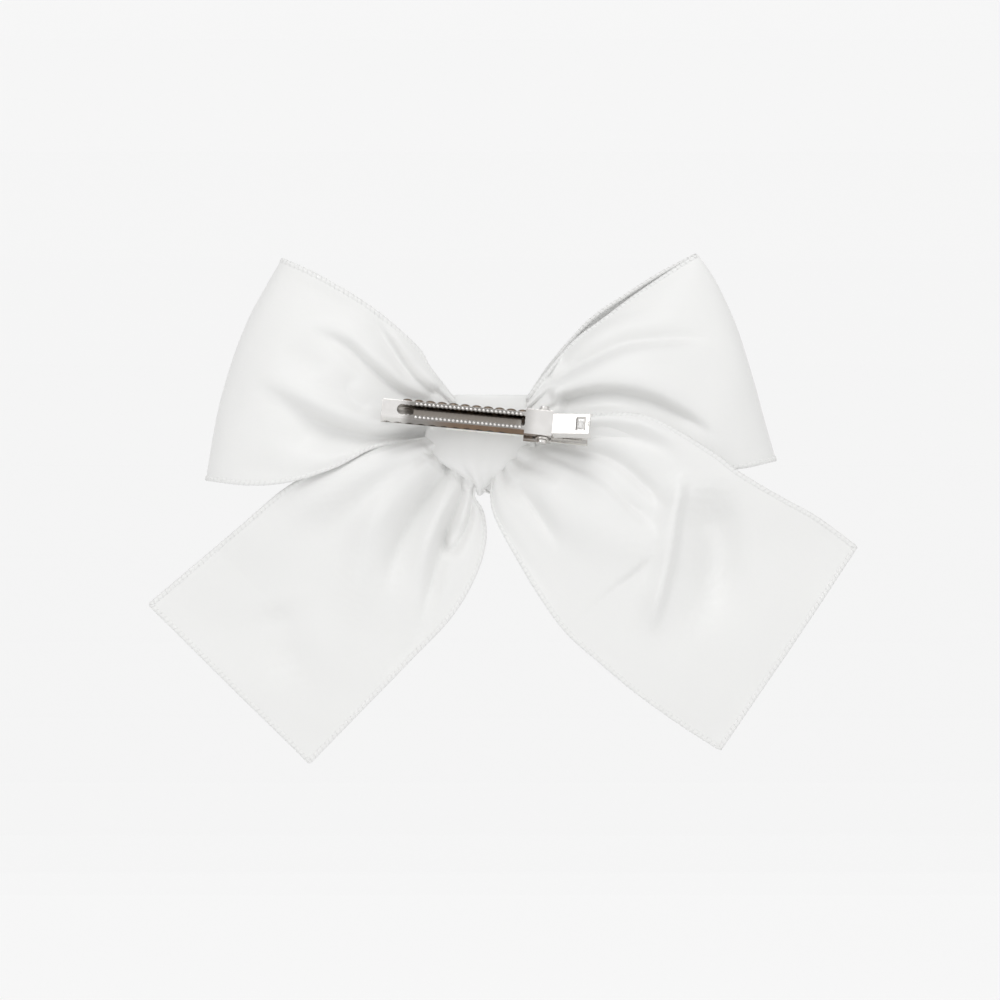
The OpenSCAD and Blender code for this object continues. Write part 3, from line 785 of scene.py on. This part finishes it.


# The last two tones given to the lever's and the base arm's finishes are painted reflection: a darker grey
# along the jaw and a brown on the lower walls.
nickel = material("nickel_plate", {"Metallic": 1.0}, nickel_look(
    (0.74, 0.72, 0.70, 1), (0.90, 0.885, 0.87, 1), 0.10, (0.30, 0.285, 0.27, 1), (0.20, 0.125, 0.075, 1)))
nickel_base = material("nickel_plate_base", {"Metallic": 1.0}, nickel_look(
    (0.62, 0.60, 0.57, 1), (0.80, 0.78, 0.75, 1), 0.16, (0.26, 0.235, 0.21, 1), (0.16, 0.10, 0.06, 1)))
# Painted reflection: the base jaw's teeth are given a near-black brown standing in for the dark surroundings
# they reflect, not a colour of the plating.
teeth_painted_reflection = material("teeth_painted_dark_reflection", {"Metallic": 1.0}, nickel_look(
    (0.10, 0.075, 0.055, 1), (0.22, 0.17, 0.13, 1), 0.22))
pin_steel = material("pin_plating", {"Metallic": 1.0}, nickel_look(
    (0.66, 0.64, 0.62, 1), (0.86, 0.84, 0.82, 1), 0.14))
spring_steel = material("sprung_steel", {"Metallic": 1.0}, nickel_look(
    (0.70, 0.69, 0.68, 1), (0.88, 0.87, 0.86, 1), 0.20))
for node, finish in (("lever_arm", nickel), ("base_arm", nickel_base), ("pivot_pin", pin_steel)):
    frame["nodes"][node].material_slots[0].material = finish

# The leaf spring, with one leg on each handle: a merged copy of the plain strip in sprung steel
plain_strip = frame["nodes"]["leaf_spring"]
strip = bpy.data.objects.new("leaf_spring_strip", plain_strip.data.copy())
strip.data.transform(plain_strip.matrix_world)
bpy.context.collection.objects.link(strip)
bm = bmesh.new()
bm.from_mesh(strip.data)
bmesh.ops.remove_doubles(bm, verts=bm.verts, dist=1e-6)
bm.to_mesh(strip.data)
bm.free()
strip.data.materials.clear()
strip.data.materials.append(spring_steel)
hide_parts("leaf_spring")
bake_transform(strip)


def glue_look(tree):
    place = make(tree, "ShaderNodeTexCoord", out=3)
    cloud = make(tree, "ShaderNodeTexNoise", {}, {"Vector": place, "Scale": 300.0, "Detail": 3.0})
    tone = mixed(tree, cloud, (0.78, 0.77, 0.73, 1), (0.86, 0.85, 0.82, 1))
    bump = make(tree, "ShaderNodeBump", {}, {"Height": cloud, "Strength": 0.3, "Distance": 0.0002})
    return {"Base Color": tone, "Roughness": 0.22 + cloud * 0.12, "Normal": bump}


glue = material("set_glue", {"Subsurface Weight": 0.15, "Subsurface Scale": 0.002}, glue_look)
frame["nodes"]["glue_pad"].material_slots[0].material = glue

clip_turn = Matrix((to_tip, outward, across_clip)).transposed().to_4x4()


def knob_row(name, places, radius, segments, stretch, finish):
    """Flattened knobs as one mesh, placed in the clip's own directions: towards the tip, out, across."""
    bm = bmesh.new()
    for place in places:
        made = bmesh.ops.create_uvsphere(bm, u_segments=segments[0], v_segments=segments[1],
                                         radius=radius)["verts"]
        bmesh.ops.scale(bm, vec=stretch, verts=made)
        bmesh.ops.translate(bm, vec=place, verts=made)
    bmesh.ops.transform(bm, matrix=Matrix.Translation(pin_at) @ clip_turn, verts=bm.verts)
    mesh = bpy.data.meshes.new(name)
    bm.to_mesh(mesh)
    bm.free()
    for polygon in mesh.polygons:
        polygon.use_smooth = True
    row = bpy.data.objects.new(name, mesh)
    bpy.context.collection.objects.link(row)
    mesh.materials.append(finish)
    return row


# Pressed beads along both edges of the lever's slot
BEAD_PITCH, FIRST_BEAD, LAST_BEAD = 0.0009, 0.0050, 0.0285
bead_places = [(FIRST_BEAD + BEAD_PITCH * number, 0.00240, aside * 0.00148)
               for number in range(int((LAST_BEAD - FIRST_BEAD) / BEAD_PITCH)) for aside in (-1, 1)]
lever_beads = knob_row("lever_beads", bead_places, 0.00036, (8, 5), (1.15, 0.6, 0.8), pin_steel)
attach(lever_beads, "lever")

# The base jaw's large teeth, rolled outwards over its upper edge as a row of scallops
TOOTH_PITCH, FIRST_TOOTH, TEETH = 0.0025, 0.0046, 11
tooth_places = [(FIRST_TOOTH + TOOTH_PITCH * number, 0.0006, 0.00235) for number in range(TEETH)]
base_teeth = knob_row("base_teeth", tooth_places, 0.00112, (16, 8), (1.0, 0.62, 0.5), teeth_painted_reflection)
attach(base_teeth, "bow")
